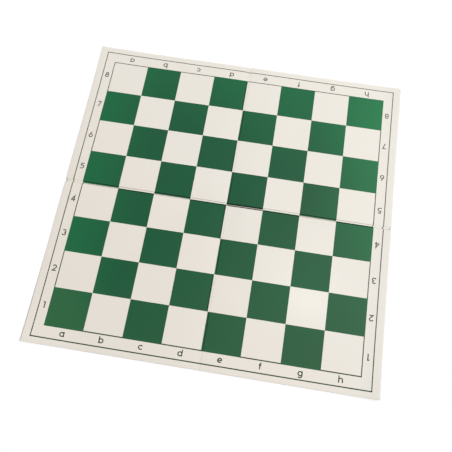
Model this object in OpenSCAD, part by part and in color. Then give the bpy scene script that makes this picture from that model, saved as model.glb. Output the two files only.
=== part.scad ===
// Folding vinyl chess board, laid open on a table.
// One printed sheet that was stored folded in four: a first fold between the d and e files, all of it
// towards the print, and a second fold between the fourth and fifth ranks, which turned one half
// towards the print and the other half away from it. The sheet is one solid, with its pressed creases,
// the notches that they draw into the edge, its thin die-cut rim and its slightly curled corners. The
// print lies on it as thin fields of ink.
// Millimetres, +Z up, +Y from the first rank to the eighth, origin under the middle of the sheet.

/* [Playing field] */
// Side of one square
square = 57; // [45:0.5:65]
// Squares along one side of the field
squares = 8; // [4:2:10]

/* [Sheet] */
// Plain margin from the field to the edge of the sheet
margin = 28; // [22:0.5:45]
// Thickness of the vinyl
sheet_t = 0.8; // [0.6:0.05:1.6]
// Width of the strip along the die-cut edge in which the vinyl gets thinner
rim_w = 1.6; // [0.5:0.1:5]
// Thickness lost at the very edge
rim_drop = 0.1; // [0:0.05:0.4]

/* [Print] */
// Thickness of the printed ink
ink_t = 0.06; // [0.03:0.01:0.2]
// Width of the two printed lines
line_w = 1.4; // [0.6:0.1:1.6]
// From the field to the middle of the border line, on the two sides
side_gap = 15.6; // [8:0.1:20]
// From the field to the middle of the border line, at the first and last ranks
end_gap = 18.2; // [8:0.1:20]

/* [Creases] */
// Distance between the two score lines of a crease
score_apart = 3.8; // [3:0.1:5]
// Width of a score line
score_w = 1.2; // [0.8:0.1:2]
// Depth of the score lines of the first fold
first_depth = 0.2; // [0.1:0.05:0.45]
// Depth of the score lines of the second fold
second_depth = 0.45; // [0.1:0.05:0.45]
// How far the strip between two score lines bows: down, or up where the fold was reversed
strip_bow = 0.1; // [0:0.05:0.15]
// From the d and e boundary to the middle of the first crease, towards the e file
first_offset = 0.4; // [-1:0.1:1]
// From the boundary of ranks 4 and 5 to the middle of the second crease, towards rank 5
second_offset = 0.6; // [-1:0.1:1]
// How far the first crease draws in the edge before the first rank
pinch_bottom = 0.2; // [0:0.1:3]
// How far the first crease draws in the edge behind the last rank
pinch_top = 0.9; // [0:0.1:3]
// How far the second crease draws in the edge beside the a file
pinch_left = 1.5; // [0:0.1:3]
// How far the second crease draws in the edge beside the h file
pinch_right = 1.8; // [0:0.1:3]
// Distance over which that pull fades towards the middle of the sheet
pinch_reach = 40; // [10:1:60]

/* [Lie of the sheet] */
// Rise per millimetre of the sheet as it leaves a crease that was folded towards the print
fold_slope = 0.02; // [0:0.005:0.1]
// Height of the table side of the sheet under the reversed half of the second fold
ridge_h = 1; // [0:0.1:3]
// Distance from a crease at which the sheet lies flat again
fold_reach = 100; // [60:1:110]
// Distance from the crossing over which one fold gives way to the other
meet_w = 30; // [15:1:50]
// Curl of the corner at a1
curl_a1 = 2.5; // [0:0.1:6]
// Curl of the corner at h1
curl_h1 = 3.5; // [0:0.1:6]
// Curl of the corner at a8
curl_a8 = 2; // [0:0.1:6]
// Curl of the corner at h8
curl_h8 = 1.2; // [0:0.1:6]
// Reach of a curl, as the sum of the distances from the two edges of its corner
curl_reach = 110; // [60:1:140]

/* [Hidden] */

field = square * squares;
field_half = field / 2;
sheet_half = field_half + margin;
side_line = field_half + side_gap;
end_line = field_half + end_gap;
line_half = line_w / 2;
strip_half = (score_apart - score_w) / 2;
crease_half = (score_apart + score_w) / 2;

vinyl_colour = [0.90, 0.87, 0.83];
green_colour = [0.17, 0.37, 0.27];
ink_colour = [0.22, 0.25, 0.21];

// Smooth step from 0 to 1 as t goes from 0 to 1
function ease(t) = let (c = min(1, max(0, t))) c * c * (3 - 2 * c);

// How a sheet held up at its crease comes down to the table, with no kink where it lands
function landing(u) = pow(max(0, 1 - u / fold_reach), 2);

// Height of the sheet's table side at u from a crease folded towards the print, and from a reversed one
function valley(u) = fold_slope * u * landing(u);
function ridge(u) = ridge_h * landing(u);

// 0 on the half of the second fold that was folded towards the print, 1 on the reversed half
function reversed(x) = ease(x / meet_w + 0.5);

// Share of a fold's own lift that is left at u from the other fold
function apart(u) = ease(u / meet_w);

// Curl of one corner: a bend about a line across the corner, so the sheet isn't stretched
function curl(height, x, y) =
    height * pow(max(0, 1 - (2 * sheet_half - x - y) / curl_reach), 2);
function curls(x, y) =
    curl(curl_a1, -x, -y) + curl(curl_h1, x, -y) + curl(curl_a8, -x, y) + curl(curl_h8, x, y);

// Distances of a point from the middles of the two creases
function from_first(x) = abs(x - first_offset);
function from_second(y) = abs(y - second_offset);

// Height of the table side of the sheet
function lift(x, y) =
    let (u = from_first(x), v = from_second(y), turned = reversed(x))
    valley(u) * apart(v) + (valley(v) * (1 - turned) + ridge(v) * turned) * apart(u) + curls(x, y);

// Shares of the depth of a score line and of the bow of its strip, at u from the middle of a crease
function score(u) = max(0, 1 - abs(u - score_apart / 2) / (score_w / 2));
function bowed(u) = max(0, 1 - pow(u / strip_half, 2));

// Drop of the printed side along the die-cut edge
function rim(x, y) = rim_drop * max(0, 1 - (sheet_half - max(abs(x), abs(y))) / rim_w);

// Depth of the printed side below a plain sheet: the deepest of score lines and edge, then the strips
function strips(x, y) = bowed(from_first(x)) + bowed(from_second(y)) * (1 - 2 * reversed(x));
function hollow(x, y) =
    max(first_depth * score(from_first(x)), second_depth * score(from_second(y)), rim(x, y))
    + strip_bow * strips(x, y);

// Place of a point once the creases have drawn in the edges that they meet
function pull(amount, u, across) =
    amount * exp((u - sheet_half) / pinch_reach) * (1 - ease((across - strip_half) / score_w));
function drawn_in(x, y) = [
    x - sign(x) * pull(x > 0 ? pinch_right : pinch_left, abs(x), from_second(y)),
    y - sign(y) * pull(y > 0 ? pinch_top : pinch_bottom, abs(y), from_first(x))];

// Height of the sheet's table side, of its printed side, or of the top of the ink
TABLE_SIDE = 0;
PRINT_SIDE = 1;
INK_SIDE = 2;
function height(face, x, y) =
    lift(x, y)
    + (face >= PRINT_SIDE ? sheet_t - hollow(x, y) : 0)
    + (face == INK_SIDE ? ink_t : 0);

// A list in rising order, each value once
function snap(v) = round(v * 1000) / 1000;
function sorted(v) = len(v) == 0 ? [] :
    let (p = v[0], lower = [for (a = v) if (a < p) a], upper = [for (a = v) if (a > p) a])
    concat(sorted(lower), [p], sorted(upper));

// Distances from the middle at which the surface is sampled, up to the edge of the sheet
crease_steps = [strip_half, score_apart / 2, crease_half];
fold_steps = [for (share = [0.14, 0.33, 0.6, 1]) fold_reach * share];
curl_steps = [for (share = [0.35, 0.7, 1]) sheet_half - curl_reach * share];
square_steps = [for (i = [1 : squares / 2 - 1]) i * square];
outline_steps = [field_half - line_half, field_half + line_half];
rim_steps = [sheet_half - rim_w];
shared_steps = concat([0, sheet_half], fold_steps, curl_steps, square_steps, outline_steps, rim_steps);

// The shared steps and those of a line both ways from the middle, the crease's both ways from its own
function cuts(line, offset) =
    let (steps = concat(shared_steps, [line - line_half, line + line_half]))
    sorted([for (s = [-1, 1]) each [
        for (a = steps) if (a >= 0 && a <= sheet_half) snap(s * a),
        for (a = crease_steps) snap(offset + s * a)]]);
xs = cuts(side_line, first_offset);
ys = cuts(end_line, second_offset);

function between(list, low, high) = [for (a = list) if (a >= snap(low) && a <= snap(high)) a];

// Closed solid over the rectangle from low to high, between two of the faces
module skin(low, high, under, upper) {
    px = between(xs, low[0], high[0]);
    py = between(ys, low[1], high[1]);
    nx = len(px);
    ny = len(py);
    function at(side, i, j) = (side * ny + j) * nx + i;
    points = [for (face = [under, upper], y = py, x = px) concat(drawn_in(x, y), [height(face, x, y)])];
    rim = concat(
        [for (i = [0 : nx - 2]) [i, 0, i + 1, 0]],
        [for (j = [0 : ny - 2]) [nx - 1, j, nx - 1, j + 1]],
        [for (i = [nx - 1 : -1 : 1]) [i, ny - 1, i - 1, ny - 1]],
        [for (j = [ny - 1 : -1 : 1]) [0, j, 0, j - 1]]);
    cells = [for (j = [0 : ny - 2], i = [0 : nx - 2]) [i, j]];
    faces = concat(
        [for (c = cells) [at(0, c[0], c[1]), at(0, c[0] + 1, c[1]), at(0, c[0] + 1, c[1] + 1)]],
        [for (c = cells) [at(0, c[0], c[1]), at(0, c[0] + 1, c[1] + 1), at(0, c[0], c[1] + 1)]],
        [for (c = cells) [at(1, c[0], c[1]), at(1, c[0] + 1, c[1] + 1), at(1, c[0] + 1, c[1])]],
        [for (c = cells) [at(1, c[0], c[1]), at(1, c[0], c[1] + 1), at(1, c[0] + 1, c[1] + 1)]],
        [for (r = rim) [at(0, r[0], r[1]), at(1, r[0], r[1]), at(1, r[2], r[3])]],
        [for (r = rim) [at(0, r[0], r[1]), at(1, r[2], r[3]), at(0, r[2], r[3])]]);
    polyhedron(points, faces);
}

// Thin field of ink that follows the printed side of the sheet
module ink(low, high) skin(low, high, PRINT_SIDE, INK_SIDE);

module vinyl_sheet() {
    color(vinyl_colour)
        skin([-sheet_half, -sheet_half], [sheet_half, sheet_half], TABLE_SIDE, PRINT_SIDE);
}

// Coordinate of a square's side; a side at the rim of the field takes in the outline
function grown(v) = v + sign(v) * (abs(v) >= field_half ? line_half : 0);
function is_dark(file, rank) = (file + rank) % 2 == 0;

// The square at a1 is dark. A dark square at the rim of the field covers the field's outline
module dark_squares() {
    color(green_colour)
        for (file = [0 : squares - 1], rank = [0 : squares - 1])
            if (is_dark(file, rank)) {
                low = [file * square - field_half, rank * square - field_half];
                ink([for (v = low) grown(v)], [for (v = low) grown(v + square)]);
            }
}

// The outline of the field shows beside its light squares only
module field_outline() {
    inner = field_half - line_half;
    outer = field_half + line_half;
    color(ink_colour)
        for (i = [0 : squares - 1]) {
            start = grown(i * square - field_half);
            end = grown((i + 1) * square - field_half);
            last = squares - 1;
            if (!is_dark(i, 0)) ink([start, -outer], [end, -inner]);
            if (!is_dark(i, last)) ink([start, inner], [end, outer]);
            if (!is_dark(0, i)) ink([-outer, max(start, -inner)], [-inner, min(end, inner)]);
            if (!is_dark(last, i)) ink([inner, max(start, -inner)], [outer, min(end, inner)]);
        }
}

// Unbroken line in the margin, round the field and its coordinates
module border_line() {
    side = [side_line - line_half, side_line + line_half];
    end = [end_line - line_half, end_line + line_half];
    color(ink_colour) {
        ink([-side[1], -end[1]], [side[1], -end[0]]);
        ink([-side[1], end[0]], [side[1], end[1]]);
        ink([-side[1], -end[0]], [-side[0], end[0]]);
        ink([side[0], -end[0]], [side[1], end[0]]);
    }
}

vinyl_sheet();
dark_squares();
field_outline();
border_line();
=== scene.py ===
"""A folding vinyl chess board, laid open on a table.

One soft printed sheet that was stored folded in four. It is cut square, scored where the print and the
creases run, given its thickness, pressed along its two creases and laid down with its curled corners.
The print is cut from the same scored blank, so it follows the sheet exactly. Lengths are in metres.
"""

import math

import bpy
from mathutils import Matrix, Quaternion, Vector


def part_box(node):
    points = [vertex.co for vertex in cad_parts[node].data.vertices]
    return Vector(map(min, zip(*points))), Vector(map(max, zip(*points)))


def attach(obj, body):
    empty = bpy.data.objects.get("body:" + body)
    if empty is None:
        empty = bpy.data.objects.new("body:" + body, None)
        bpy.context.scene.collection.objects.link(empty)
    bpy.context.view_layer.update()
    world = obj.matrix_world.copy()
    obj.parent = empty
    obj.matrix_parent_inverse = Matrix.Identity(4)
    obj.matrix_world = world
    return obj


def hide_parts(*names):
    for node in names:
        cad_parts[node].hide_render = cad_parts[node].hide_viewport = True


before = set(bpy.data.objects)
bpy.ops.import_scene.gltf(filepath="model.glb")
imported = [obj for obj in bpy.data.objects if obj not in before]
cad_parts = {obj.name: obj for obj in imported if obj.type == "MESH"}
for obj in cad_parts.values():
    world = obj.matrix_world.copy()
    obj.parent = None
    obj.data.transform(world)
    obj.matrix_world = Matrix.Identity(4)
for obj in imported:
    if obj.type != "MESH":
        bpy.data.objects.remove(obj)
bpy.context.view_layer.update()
MM = 0.001

# Sheet and print
square = 57 * MM
squares = 8
field_half = square * squares / 2
sheet_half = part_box("vinyl_sheet")[1].x
sheet_t = 0.8 * MM
ink_t = 0.06 * MM
line_w = 1.4 * MM
side_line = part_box("border_line")[1].x - line_w / 2
end_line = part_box("border_line")[1].y - line_w / 2
outline_outer = field_half + line_w / 2
outline_inner = field_half - line_w / 2

# Creases
score_apart = 3.8 * MM
score_w = 1.2 * MM
strip_half = (score_apart - score_w) / 2
first_depth = 0.2 * MM
second_depth = 0.45 * MM
strip_bow = 0.1 * MM
first_offset = 0.4 * MM
second_offset = 0.6 * MM
pinch_reach = 40 * MM
pinch_left = 1.5 * MM
pinch_right = 1.8 * MM
pinch_top = 0.9 * MM
pinch_bottom = 0.2 * MM

# Lie of the sheet
fold_slope = 0.02
ridge_h = 1.0 * MM
fold_reach = 100 * MM
meet_w = 30 * MM
curl_reach = 110 * MM
curl_a1 = 2.5 * MM
curl_h1 = 3.5 * MM
curl_a8 = 2.0 * MM
curl_h8 = 1.2 * MM
rim_w = 1.6 * MM
rim_drop = 0.1 * MM
cut_round = 0.2 * MM

# Lettering
pen = 1.57 * MM
x_height = 7.2 * MM
tall = 9.9 * MM
letter_pitch = 57.1 * MM
letter_base = 12.9 * MM
digit_centre = 7.8 * MM
digit_shift = 0.2 * MM
left_digit_rise = {"7": 1.9 * MM, "8": 2.2 * MM}

# Colours of the vinyl and its marks, among them painted light and shade
CREAM = {
    "plain": (0.745, 0.706, 0.642, 1),
    "mottled": (0.762, 0.722, 0.657, 1),
    "yellowed": (0.752, 0.700, 0.630, 1),
    # Painted shade, darker towards the right edge
    "right margin shade": (0.724, 0.688, 0.626, 1),
    # Painted light on the g and h files
    "painted_light_patch": (0.817, 0.787, 0.714, 1),
    # Partly dirt and partly painted shade, along the score lines
    "crease dirt and shade": (0.26, 0.22, 0.19, 1),
    # A dark line on e4 beside the reversed fold
    "dark line on e4": (0.02, 0.03, 0.02, 1),
    # Painted shade in the notches of the second crease
    "notch shade": (0.16, 0.11, 0.09, 1),
    # Painted shade along the left edge near a1
    "left edge shade": (0.20, 0.18, 0.15, 1),
    "run ink": (0.12, 0.16, 0.11, 1),
}

# Colours of the green ink, among them painted light, sheen and shade, and of the ink of the lines
GREEN = {
    "plain": (0.000, 0.062, 0.022, 1),
    "mottled": (0.001, 0.072, 0.027, 1),
    # Painted sheen, lighter towards the lower right
    "lower_right_sheen": (0.013, 0.080, 0.029, 1),
    # Lighter green towards the sides and the far side
    "lighter_sides": (0.004, 0.148, 0.047, 1),
    "by a1": (0.020, 0.100, 0.036, 1),
    # Painted light on the g and h files
    "painted_light_patch": (0.010, 0.090, 0.036, 1),
    # Painted shade along the score lines and beside the reversed fold
    "folded": (0.0, 0.007, 0.002, 1),
    "cracked": (0.62, 0.60, 0.55, 1),
}
LINE = {"dark": (0.014, 0.032, 0.015, 1), "faded": (0.130, 0.135, 0.115, 1)}

# Finish that the vinyl and the inks share
refraction = 1.5
gloss = 0.27
smoothest = 0.48
line_roughness = 0.5
fold_roughening = 0.4
pebble = 0.9 * MM
fine_grain = 0.35 * MM
grain_depth = 0.03 * MM

# Marks of folding and use, with painted shade in the creases, at the notches and along the left edge and a
# painted patch of light on the g and h files; half widths from their own middle and starts from the edge of
# the sheet
dirt_and_shade_half = 0.9 * MM
dark_line_y = -1.2 * MM
dark_line_half = 1.0 * MM
fold_shade_y = 0.95 * MM
fold_shade_half = 1.2 * MM
crack_half = 0.3 * MM
run_reach = 0.3 * MM
notch_shade_half = 2.6 * MM
notch_shade_start = 3.8 * MM
notch_shade_full = 2.6 * MM
edge_shade_start = 0.9 * MM
edge_shade_full = 0.6 * MM
light_patch_x = 140 * MM
light_patch_half = 85 * MM

# Table and light
table_w = 8
table_gap = 0.05 * MM
table_grey = 0.12
table_glow = 0.9
room_light = 0.272
softbox_place = (5.42, 3.21, 4.96)
softbox_w = 2.0
softbox_power = 840


def ease(t):
    """Smooth step from 0 to 1 as t goes from 0 to 1"""
    t = min(1, max(0, t))
    return t * t * (3 - 2 * t)


def landing(u):
    """1 on a fold and 0 from where the sheet lies flat again"""
    return max(0, 1 - u / fold_reach) ** 2


def valley(u):
    """Height beside a fold that was pressed towards the print"""
    return fold_slope * u * landing(u)


def ridge(u):
    """Height on and beside the reversed fold"""
    return ridge_h * landing(u)


def reversed_share(x):
    """0 on the half of the second fold that was folded towards the print, 1 on the reversed half"""
    return ease(x / meet_w + 0.5)


def curl(height, x, y):
    """Curl of one corner, a bend about a line across it"""
    return height * max(0, 1 - (2 * sheet_half - x - y) / curl_reach) ** 2


def lift(x, y):
    """Height of the table side of the sheet"""
    turned = reversed_share(x)
    u, v = abs(x - first_offset), abs(y - second_offset)
    along_files = valley(u) * ease(v / meet_w)
    along_ranks = (valley(v) * (1 - turned) + ridge(v) * turned) * ease(u / meet_w)
    corners = curl(curl_a1, -x, -y) + curl(curl_h1, x, -y) + curl(curl_a8, -x, y) + curl(curl_h8, x, y)
    return along_files + along_ranks + corners


def score(u):
    """Share of its full depth that a score line has at u from the middle of its crease"""
    return 1 - ease(abs(u - score_apart / 2) / (score_w / 2))


def bowed(u):
    """Share of its full bow that the strip between two score lines has"""
    return max(0, 1 - (u / strip_half) ** 2)


def crease(x, y):
    """Depth of the creases and of the die-cut edge below the printed side"""
    u, v = abs(x - first_offset), abs(y - second_offset)
    strips = bowed(u) + bowed(v) * (1 - 2 * reversed_share(x))
    return max(first_depth * score(u), second_depth * score(v), rim(x, y)) + strip_bow * strips


def rim(x, y):
    """Drop of the printed side along the die-cut edge"""
    to_edge = sheet_half - max(abs(x), abs(y))
    return rim_drop * (1 - ease(to_edge / rim_w))


def notch(u):
    """Share of its full pull that a crease has on the edge at u from its middle"""
    return 1 - ease((abs(u) - strip_half) / score_w)


def pinched(x, y):
    """Place of a point once each crease has drawn in the edges that it meets"""
    left_or_right = pinch_right if x > 0 else pinch_left
    top_or_bottom = pinch_top if y > 0 else pinch_bottom
    across = left_or_right * math.exp((abs(x) - sheet_half) / pinch_reach) * notch(y - second_offset)
    along = top_or_bottom * math.exp((abs(y) - sheet_half) / pinch_reach) * notch(x - first_offset)
    return x - math.copysign(across, x), y - math.copysign(along, y)


def clear_selection():
    bpy.ops.object.select_all(action="DESELECT")


def take(piece):
    """Makes a piece the only one selected"""
    clear_selection()
    piece.select_set(True)
    bpy.context.view_layer.objects.active = piece


def copied(piece, name):
    take(piece)
    bpy.ops.object.duplicate()
    copy = bpy.context.object
    copy.name = copy.data.name = name
    return copy


def thrown_away(piece):
    bpy.data.objects.remove(piece, do_unlink=True)


def cut_lines(line_centre, crease_centre):
    """Where the blank is cut in one direction: print edges, creases, rim and an even net"""
    net = square / 8
    lines = [net * k for k in range(1, math.ceil(sheet_half / net))]
    lines += [outline_inner, outline_outer, line_centre - line_w / 2, line_centre + line_w / 2]
    lines += [sheet_half - rim_w * share for share in (0.25, 0.5, 0.75, 1)]
    # One facet more on each side of a score line keeps its shading off the flat sheet
    facet = score_w / 8
    creases = [score_apart / 2 + facet * k for k in range(-5, 6)] + [strip_half / 2]
    mirrored = [side * place for side in (-1, 1) for place in lines]
    mirrored += [crease_centre + side * place for side in (-1, 1) for place in creases]
    return sorted([0, crease_centre] + mirrored)


def cut_blank():
    """A flat square of vinyl with a line of points wherever the print or a crease needs one"""
    clear_selection()
    bpy.ops.mesh.primitive_plane_add(size=2 * sheet_half)
    blank = bpy.context.object
    blank.name = "blank"
    bpy.ops.object.mode_set(mode="EDIT")
    for axis, line_centre, crease_centre in ((0, side_line, first_offset), (1, end_line, second_offset)):
        normal = Vector((0, 0, 0))
        normal[axis] = 1
        for place in cut_lines(line_centre, crease_centre):
            bpy.ops.mesh.select_all(action="SELECT")
            bpy.ops.mesh.bisect(plane_co=normal * place, plane_no=normal)
    bpy.ops.object.mode_set(mode="OBJECT")
    return blank


def cut_out(blank, name, is_printed):
    """A copy of the blank that keeps only the faces whose middle is_printed accepts"""
    piece = copied(blank, name)
    for face in piece.data.polygons:
        face.select = not is_printed(face.center.x, face.center.y)
    bpy.ops.object.mode_set(mode="EDIT")
    bpy.ops.mesh.select_mode(type="FACE")
    bpy.ops.mesh.delete(type="FACE")
    bpy.ops.object.mode_set(mode="OBJECT")
    return piece


def thickened(piece, thickness):
    """Extrudes a flat piece upwards into a closed slab"""
    take(piece)
    bpy.ops.object.mode_set(mode="EDIT")
    bpy.ops.mesh.select_all(action="SELECT")
    bpy.ops.mesh.extrude_region_move(TRANSFORM_OT_translate={"value": (0, 0, thickness)})
    bpy.ops.mesh.select_all(action="SELECT")
    bpy.ops.mesh.normals_make_consistent(inside=False)
    bpy.ops.object.mode_set(mode="OBJECT")
    return piece


def rounded_rim(piece):
    """Rounds the cut edge of the slab, above and below"""
    take(piece)
    bpy.ops.object.mode_set(mode="EDIT")
    bpy.ops.mesh.select_mode(type="EDGE")
    bpy.ops.mesh.select_all(action="DESELECT")
    bpy.ops.mesh.edges_select_sharp(sharpness=math.radians(60))
    bpy.ops.mesh.bevel(offset=cut_round, segments=2)
    bpy.ops.object.mode_set(mode="OBJECT")
    return piece


def side_marked(slab):
    """Gives each point of the flat slab its share of the way from the table side to the printed side"""
    share = slab.data.attributes.new("printed_side", "FLOAT", "POINT")
    for vertex, entry in zip(slab.data.vertices, share.data):
        entry.value = vertex.co.z / sheet_t
    return slab


def laid(piece, on_sheet):
    """Lays a flat piece on the table, or on the printed side of the sheet where on_sheet is true"""
    for vertex in piece.data.vertices:
        x, y, z = vertex.co
        thin = sheet_t - crease(x, y)
        above = thin + z if on_sheet else thin * z / sheet_t
        height = lift(x, y) + above
        vertex.co = (*pinched(x, y), height)
    take(piece)
    bpy.ops.object.shade_smooth_by_angle(angle=math.radians(40))
    return piece


def is_dark(x, y):
    """Dark squares, the ones at the rim grown over the outline of the field"""
    if max(abs(x), abs(y)) > outline_outer:
        return False
    file = min(squares - 1, max(0, math.floor((x + field_half) / square)))
    rank = min(squares - 1, max(0, math.floor((y + field_half) / square)))
    return (file + rank) % 2 == 0


def is_outline(x, y):
    return outline_inner < max(abs(x), abs(y)) < outline_outer and not is_dark(x, y)


def is_border(x, y):
    inside = abs(x) < side_line + line_w / 2 and abs(y) < end_line + line_w / 2
    return inside and (abs(x) > side_line - line_w / 2 or abs(y) > end_line - line_w / 2)


def arc(x, y, rx, start, end, ry=None):
    """Points of an arc about (x, y), angles in degrees, anticlockwise from +X"""
    steps = max(2, round(abs(end - start) / 12))
    angles = [math.radians(start + (end - start) * i / steps) for i in range(steps + 1)]
    return [(x + rx * math.cos(a), y + (ry or rx) * math.sin(a)) for a in angles]


def ring(x, y, rx, ry=None):
    return arc(x, y, rx, 0, 360, ry)


# Middles of the lowest stroke, a small letter and the highest stroke, and the radius of a round letter
low = pen / 2
mid = x_height / 2
top = tall - pen / 2
bowl = (x_height - pen) / 2

# Each letter or digit as pen strokes, its middle at x = 0 and its foot at y = 0
LETTERS = {
    "a": [ring(0, mid, bowl), [(bowl, x_height), (bowl, 0)]],
    "b": [ring(0, mid, bowl), [(-bowl, tall), (-bowl, 0)]],
    "c": [arc(0.3 * MM, mid, bowl, 36, 324)],
    "d": [ring(0, mid, bowl), [(bowl, tall), (bowl, 0)]],
    "e": [[(-bowl, mid), (bowl, mid)], arc(0, mid, bowl, 0, 318)],
    "f": [arc(1.6 * MM, tall - 2.3 * MM, 1.6 * MM, 88, 180) + [(0, 0)],
          [(-1.7 * MM, x_height - low), (2.0 * MM, x_height - low)]],
    "g": [ring(0, mid, bowl),
          [(bowl, x_height)] + arc(0, 0.3 * MM, bowl, 0, -145, 2.2 * MM)],
    "h": [[(-2.6 * MM, tall), (-2.6 * MM, 0)],
          arc(0, x_height - low - 2.6 * MM, 2.6 * MM, 180, 0) + [(2.6 * MM, 0)]],
}
DIGITS = {
    "1": [[(-1.8 * MM, tall - 1.3 * MM), (0.5 * MM, tall - 0.7 * MM), (0.5 * MM, 0)]],
    "2": [arc(0, top - 2.5 * MM, 2.5 * MM, 165, -38) + [(-2.5 * MM, low), (2.9 * MM, low)]],
    "3": [arc(0, top - 2.0 * MM, 2.2 * MM, 160, -90, 2.0 * MM),
          arc(-0.1 * MM, low + 2.2 * MM, 2.7 * MM, 90, -160, 2.2 * MM)],
    "4": [[(1.3 * MM, 0), (1.3 * MM, tall - low), (-2.7 * MM, 2.9 * MM), (3.2 * MM, 2.9 * MM)]],
    "5": [[(2.8 * MM, top), (-1.4 * MM, top), (-2.0 * MM, 5.7 * MM)]
          + arc(0, low + 2.5 * MM, 2.5 * MM, 90, -85) + [(-3.0 * MM, low)]],
    "6": [ring(0, low + 2.6 * MM, 2.6 * MM), [(-2.3 * MM, 4.6 * MM), (1.0 * MM, tall)]],
    "7": [[(-2.7 * MM, top), (2.5 * MM, top), (-0.9 * MM, 0)]],
    "8": [ring(0, top - 1.95 * MM, 2.1 * MM, 1.95 * MM), ring(0, low + 2.3 * MM, 2.5 * MM, 2.3 * MM)],
}


def pen_stroke(points):
    """A closed bar of ink, as wide as the pen, along a line of points"""
    closed = math.dist(points[0], points[-1]) < 1e-9
    if closed:
        points = points[:-1]
    path = bpy.data.curves.new("stroke", "CURVE")
    spline = path.splines.new("POLY")
    spline.points.add(len(points) - 1)
    for point, (x, y) in zip(spline.points, points):
        point.co = (x, y, 0, 1)
    spline.use_cyclic_u = closed
    stroke = bpy.data.objects.new("stroke", path)
    bpy.context.collection.objects.link(stroke)
    take(stroke)
    bpy.ops.object.convert(target="MESH")
    stroke = bpy.context.object
    bpy.ops.object.mode_set(mode="EDIT")
    bpy.ops.mesh.select_mode(type="VERT")
    bpy.ops.mesh.select_all(action="SELECT")
    bpy.ops.mesh.extrude_region_move(TRANSFORM_OT_translate={"value": (0, 0, ink_t)})
    bpy.ops.object.mode_set(mode="OBJECT")
    wide = stroke.modifiers.new("pen", "SOLIDIFY")
    wide.thickness = pen
    wide.offset = 0
    wide.use_even_offset = True
    bpy.ops.object.modifier_apply(modifier=wide.name)
    bpy.ops.object.mode_set(mode="EDIT")
    bpy.ops.mesh.select_all(action="SELECT")
    bpy.ops.mesh.normals_make_consistent(inside=False)
    bpy.ops.object.mode_set(mode="OBJECT")
    return stroke


def glyph(name, strokes):
    """One letter or digit, its strokes united"""
    whole = pen_stroke(strokes[0])
    for points in strokes[1:]:
        stroke = pen_stroke(points)
        take(whole)
        union = whole.modifiers.new("union", "BOOLEAN")
        union.operation = "UNION"
        union.solver = "EXACT"
        union.object = stroke
        bpy.ops.object.modifier_apply(modifier=union.name)
        thrown_away(stroke)
    whole.name = "glyph_" + name
    return whole


def stamped(model, x, y, turned):
    """A copy of a glyph with its foot at (x, y), turned for a player on the far side where turned is true"""
    copy = copied(model, "stamp")
    copy.location = (x, y, 0)
    copy.rotation_euler.z = math.pi if turned else 0
    bpy.ops.object.transform_apply(location=True, rotation=True, scale=True)
    return copy


def coordinates():
    """The letters of the files and the digits of the ranks, in all four margins"""
    models = {name: glyph(name, strokes) for name, strokes in (LETTERS | DIGITS).items()}
    stamps = []
    for i, (letter, digit) in enumerate(zip(LETTERS, DIGITS)):
        place = i - (squares - 1) / 2
        x = place * letter_pitch
        y = field_half + letter_base
        stamps.append(stamped(models[letter], x, -y, False))
        stamps.append(stamped(models[letter], x, y, True))
        x = field_half + digit_centre
        y = place * square + digit_shift
        rise = left_digit_rise.get(digit, 0)
        stamps.append(stamped(models[digit], -x, y + rise - tall / 2, False))
        stamps.append(stamped(models[digit], x, y + tall / 2, True))
    for model in models.values():
        thrown_away(model)
    clear_selection()
    for stamp in stamps:
        stamp.select_set(True)
    bpy.context.view_layer.objects.active = stamps[0]
    bpy.ops.object.join()
    joined = bpy.context.object
    joined.name = joined.data.name = "coordinates"
    return joined


class Wire:
    """An output of a node, on which shader maths is written as an expression"""

    def __init__(self, nodes, socket):
        self.nodes = nodes
        self.socket = socket

    def maths(self, operation, *values):
        return self.nodes.add("ShaderNodeMath", {"operation": operation}, dict(enumerate(values)))

    def __add__(self, other):
        return self.maths("ADD", self, other)

    __radd__ = __add__

    def __sub__(self, other):
        return self.maths("SUBTRACT", self, other)

    def __rsub__(self, other):
        return self.maths("SUBTRACT", other, self)

    def __mul__(self, other):
        return self.maths("MULTIPLY", self, other)

    __rmul__ = __mul__

    def __truediv__(self, other):
        return self.maths("DIVIDE", self, other)

    def __neg__(self):
        return 0 - self

    def __abs__(self):
        return self.maths("ABSOLUTE", self)

    def lowest(self, other):
        return self.maths("MINIMUM", self, other)

    def highest(self, other):
        return self.maths("MAXIMUM", self, other)


class Nodes:
    """The nodes of a material or of the world"""

    def __init__(self, owner):
        owner.use_nodes = True
        self.tree = owner.node_tree
        self.tree.nodes.clear()

    def add(self, kind, settings=None, inputs=None, output=0):
        node = self.tree.nodes.new(kind)
        for name, value in (settings or {}).items():
            setattr(node, name, value)
        for name, value in (inputs or {}).items():
            if isinstance(value, Wire):
                self.tree.links.new(value.socket, node.inputs[name])
            else:
                node.inputs[name].default_value = value
        return Wire(self, node.outputs[output]) if node.outputs else None

    def shows_background(self):
        """1 for the rays that bring the background to the camera, directly, mirrored or through glass"""
        rays = self.add("ShaderNodeLightPath").socket.node
        camera, glossy, through = (Wire(self, rays.outputs[f"Is {kind} Ray"])
                                   for kind in ("Camera", "Glossy", "Transmission"))
        return (camera + glossy + through).lowest(1)


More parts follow.
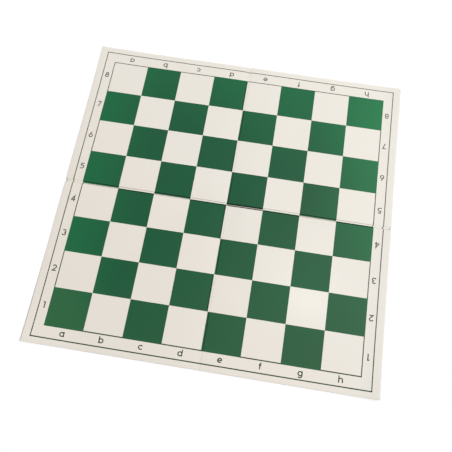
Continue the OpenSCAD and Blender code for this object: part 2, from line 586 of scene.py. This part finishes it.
class Finish(Nodes):
    """A procedural material"""

    def __init__(self, name):
        self.material = bpy.data.materials.new(name)
        super().__init__(self.material)
        self.place = self.add("ShaderNodeTexCoord", output="Object")
        parts = self.add("ShaderNodeSeparateXYZ", inputs={"Vector": self.place}).socket.node
        self.x, self.y = (Wire(self, parts.outputs[axis]) for axis in "XY")

    def noise(self, size, detail=2):
        """Soft noise whose lumps are about size across"""
        inputs = {"Vector": self.place, "Scale": 1 / size, "Detail": detail}
        return self.add("ShaderNodeTexNoise", inputs=inputs)

    def band(self, distance, half_width):
        """1 on a line and 0 at half_width from it"""
        return (1 - distance / half_width).highest(0)

    def stripe(self, distance, half_width, sharpness):
        """1 along a line and 0 at half_width from it, with an edge sharpness times as steep as a band's"""
        return (self.band(distance, half_width) * sharpness).lowest(1)

    def blended(self, share, first, second):
        """First colour where share is 0 and second where it is 1"""
        inputs = {"Factor": share, 6: first, 7: second}
        return self.add("ShaderNodeMix", {"data_type": "RGBA"}, inputs, output=2)

    def ramp(self, distance, start, end):
        """0 up to start, then up to 1 at end"""
        return ((distance - start) / (end - start)).highest(0).lowest(1)


def grain(finish):
    """The fine orange-peel grain of calendered vinyl"""
    pebbles = finish.add("ShaderNodeTexVoronoi", {"feature": "SMOOTH_F1"},
                         {"Vector": finish.place, "Scale": 1 / pebble, "Smoothness": 0.6})
    return pebbles * 0.6 + finish.noise(fine_grain) * 0.4


def sheen(finish):
    """Roughness of the vinyl, a little uneven"""
    return smoothest + finish.noise(25 * MM, 3) * 0.08


def vinyl_surface(finish, colour, roughness):
    """Ends a material in one shader, with the gloss and the grain that the vinyl and its inks share"""
    bump = finish.add("ShaderNodeBump", inputs={
        "Height": grain(finish),
        "Distance": grain_depth,
        "Strength": 1.0,
    })
    shader = finish.add("ShaderNodeBsdfPrincipled", inputs={
        "Base Color": colour,
        "Roughness": roughness,
        "IOR": refraction,
        "Specular IOR Level": gloss,
        "Normal": bump,
    })
    finish.add("ShaderNodeOutputMaterial", inputs={"Surface": shader})
    return finish.material


def furrow(finish, u):
    """1 on the two score lines of a crease and 0 where their dirt and painted shade end"""
    return finish.band(abs(abs(u) - score_apart / 2), dirt_and_shade_half)


def furrows(finish, first_share, second_share):
    """How much dirt and painted shade the score lines get, the second crease only between the side margins
    """
    first = furrow(finish, finish.x - first_offset) * first_share
    second = furrow(finish, finish.y - second_offset) * second_share
    patchy = 0.55 + finish.noise(9 * MM, 3) * 0.9
    in_field = 1 - finish.ramp(abs(finish.x), field_half - 2 * MM, field_half)
    return (first.highest(second * in_field) * patchy).lowest(1)


def by_crossing(finish):
    """1 on the e file, where the reversed half of the second fold was stretched most, with a broken edge"""
    along = finish.stripe(abs(finish.x - square / 2), square / 2, 8)
    return along * (finish.noise(4 * MM, 3) * 3 - 0.1).highest(0).lowest(1)


def painted_light_patch(finish):
    """1 on a painted patch of light on the g and h files, where the sheet rises slightly towards the lamp,
    and 0 away from it
    """
    across = finish.band(abs(finish.x - light_patch_x), light_patch_half)
    rise = finish.ramp(finish.y, -190 * MM, -135 * MM)
    return across * rise * (1 - finish.ramp(finish.y, -130 * MM, 0))


def run_ink(finish):
    """1 on ink that has run a little way into the vinyl from the lines before the first rank"""
    border = abs(finish.y + end_line).highest(abs(finish.x) - side_line)
    outline = abs(finish.y + field_half).highest(abs(finish.x) - field_half)
    return finish.stripe(border.lowest(outline), line_w / 2 + run_reach, 5)


def cream_vinyl():
    """Cream vinyl, yellowed towards a1, with painted shade towards the right edge, a painted patch of light
    on the g and h files, dirt and painted shade along its creases, a dark line on e4 beside the reversed
    fold, painted shade at the notches and along the left edge, and ink run from the near lines
    """
    finish = Finish("cream_vinyl")
    mottle = finish.noise(60 * MM, 3)
    yellowed = finish.ramp(-finish.y - finish.x, 0, 220 * MM) * (0.6 + finish.noise(90 * MM) * 0.8)
    # Painted shade: the cream darkens towards the right edge
    right_margin_shade = finish.ramp(finish.x, 225 * MM, 245 * MM)
    colour = finish.blended(mottle, CREAM["plain"], CREAM["mottled"])
    colour = finish.blended(yellowed, colour, CREAM["yellowed"])
    colour = finish.blended(right_margin_shade, colour, CREAM["right margin shade"])
    # Painted light on the g and h files
    clean = finish.blended(painted_light_patch(finish), colour, CREAM["painted_light_patch"])

    # A dark line on e4 beside the reversed fold
    e4_dark_line = finish.stripe(abs(finish.y - dark_line_y), dark_line_half, 3) * by_crossing(finish)
    # Painted shade in the notches where the second crease meets the edges
    at_edge = finish.ramp(abs(finish.x), sheet_half - notch_shade_start, sheet_half - notch_shade_full)
    notch_shade = at_edge * finish.band(abs(finish.y - second_offset), notch_shade_half)
    # Painted shade along the left edge near a1
    by_left_edge = finish.ramp(-finish.x, sheet_half - edge_shade_start, sheet_half - edge_shade_full)
    left_edge_shade = by_left_edge * finish.ramp(-finish.y, 120 * MM, 190 * MM)
    # Dirt and painted shade along the score lines
    colour = finish.blended(furrows(finish, 0.15, 0.5), clean, CREAM["crease dirt and shade"])
    colour = finish.blended(e4_dark_line, colour, CREAM["dark line on e4"])
    colour = finish.blended(notch_shade, colour, CREAM["notch shade"])
    colour = finish.blended(left_edge_shade, colour, CREAM["left edge shade"])
    colour = finish.blended(run_ink(finish), colour, CREAM["run ink"])

    printed_side = finish.add("ShaderNodeAttribute", {"attribute_name": "printed_side"}, output=2)
    return vinyl_surface(finish, finish.blended(printed_side, clean, colour), sheen(finish))


def green_ink():
    """Green ink, lighter towards the sides and the last rank, with painted sheen towards the lower right, a
    painted patch of light on the g and h files, painted shade along the score lines and beside the reversed
    fold, and a white crack in the reversed fold
    """
    finish = Finish("green_ink")
    mottle = finish.noise(40 * MM, 4)
    # Painted sheen, lighter towards the lower right
    lower_right_sheen = finish.ramp(finish.x - finish.y, -20 * MM, 300 * MM)
    # Lighter towards the sides and the far side
    by_left = finish.ramp(-finish.x, 135 * MM, 240 * MM)
    by_right = finish.ramp(finish.x + finish.y.lowest(0) * 0.45, 130 * MM, 225 * MM)
    by_far_side = finish.ramp(finish.y + finish.x * 0.3, 100 * MM, 240 * MM)
    lighter_sides = by_left + by_right + by_far_side * 0.8
    by_a1 = finish.ramp(-finish.x - finish.y, 310 * MM, 400 * MM)
    colour = finish.blended(mottle, GREEN["plain"], GREEN["mottled"])
    colour = finish.blended(lower_right_sheen, colour, GREEN["lower_right_sheen"])
    colour = finish.blended(lighter_sides / 1.8, colour, GREEN["lighter_sides"])
    colour = finish.blended(by_a1 * 0.8, colour, GREEN["by a1"])
    # Painted light on the g and h files
    colour = finish.blended(painted_light_patch(finish), colour, GREEN["painted_light_patch"])

    stretched = by_crossing(finish)
    # Painted shade beside the reversed fold and along the score lines
    folded = finish.stripe(abs(finish.y - fold_shade_y), fold_shade_half, 3) * stretched
    shade = furrows(finish, 1.0, 1.3).highest(folded)
    crack = finish.stripe(abs(finish.y), crack_half, 2) * stretched
    colour = finish.blended(shade, colour, GREEN["folded"])
    colour = finish.blended(crack, colour, GREEN["cracked"])
    return vinyl_surface(finish, colour, sheen(finish) + shade * fold_roughening)


def line_ink():
    """Dark ink of the lines and the lettering, a little paler towards the last rank"""
    finish = Finish("line_ink")
    patchy = (finish.noise(6 * MM, 3) - 0.5) * 0.2
    faded = finish.ramp(finish.y, -245 * MM, 245 * MM) + patchy
    return vinyl_surface(finish, finish.blended(faded, LINE["dark"], LINE["faded"]), line_roughness)


def dressed(piece, material):
    piece.data.materials.clear()
    piece.data.materials.append(material)
    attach(piece, "root")
    return piece


def floor_finish():
    """A matt grey that keeps the shadow of the sheet, with a glow that turns it white for the camera"""
    finish = Finish("white_table")
    grey = (table_grey, table_grey, table_grey, 1)
    matt = finish.add("ShaderNodeBsdfDiffuse", inputs={"Color": grey})
    glow = finish.add("ShaderNodeEmission", inputs={"Strength": table_glow})
    both = finish.add("ShaderNodeAddShader", inputs={0: matt, 1: glow})
    floor = finish.add("ShaderNodeMixShader", inputs={0: finish.shows_background(), 1: matt, 2: both})
    finish.add("ShaderNodeOutputMaterial", inputs={"Surface": floor})
    return finish.material


def room():
    """An even world, white where it is the background"""
    world = bpy.data.worlds.new("room")
    bpy.context.scene.world = world
    nodes = Nodes(world)
    white = (1, 1, 1, 1)
    light = nodes.add("ShaderNodeBackground", inputs={"Color": white, "Strength": room_light})
    background = nodes.add("ShaderNodeBackground", inputs={"Color": white, "Strength": 1.0})
    both = nodes.add("ShaderNodeMixShader", inputs={0: nodes.shows_background(), 1: light, 2: background})
    nodes.add("ShaderNodeOutputWorld", inputs={"Surface": both})


def stage():
    """A plain white table and soft studio light from the back right"""
    clear_selection()
    bpy.ops.mesh.primitive_plane_add(size=table_w, location=(0, 0, -table_gap))
    table = bpy.context.object
    table.name = "table"
    table.data.materials.append(floor_finish())

    room()
    bpy.ops.object.light_add(type="AREA", location=softbox_place)
    lamp = bpy.context.object
    lamp.name = "softbox"
    lamp.data.shape = "DISK"
    lamp.data.size = softbox_w
    lamp.data.energy = softbox_power
    lamp.rotation_euler = (-lamp.location).to_track_quat("-Z", "Y").to_euler()


def camera():
    """The photograph's camera, above the near side of the board and turned a little about its own axis"""
    place = Vector((47.8, -371.2, 879.1)) * MM
    aim = Vector((5.0, -34.9, 0)) * MM
    roll = math.radians(2.025)
    bpy.ops.object.camera_add(location=place)
    photo_camera = bpy.context.object
    look = (aim - place).to_track_quat("-Z", "Y") @ Quaternion((0, 0, 1), roll)
    photo_camera.rotation_euler = look.to_euler()
    photo_camera.data.sensor_width = 36
    photo_camera.data.lens = 49.0
    bpy.context.scene.camera = photo_camera


blank = cut_blank()
cream, green, line = cream_vinyl(), green_ink(), line_ink()

dark_squares = laid(thickened(cut_out(blank, "printed_squares", is_dark), ink_t), True)
outline = laid(thickened(cut_out(blank, "printed_outline", is_outline), ink_t), True)
border = laid(thickened(cut_out(blank, "printed_border", is_border), ink_t), True)
lettering = laid(coordinates(), True)
sheet = laid(side_marked(rounded_rim(thickened(copied(blank, "laid_sheet"), sheet_t))), False)
thrown_away(blank)

dressed(sheet, cream)
dressed(dark_squares, green)
dressed(outline, line)
dressed(border, line)
dressed(lettering, line)
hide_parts("vinyl_sheet")
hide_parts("dark_squares")
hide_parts("field_outline")
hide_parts("border_line")

stage()
camera()
bpy.context.scene.view_settings.view_transform = "Standard"
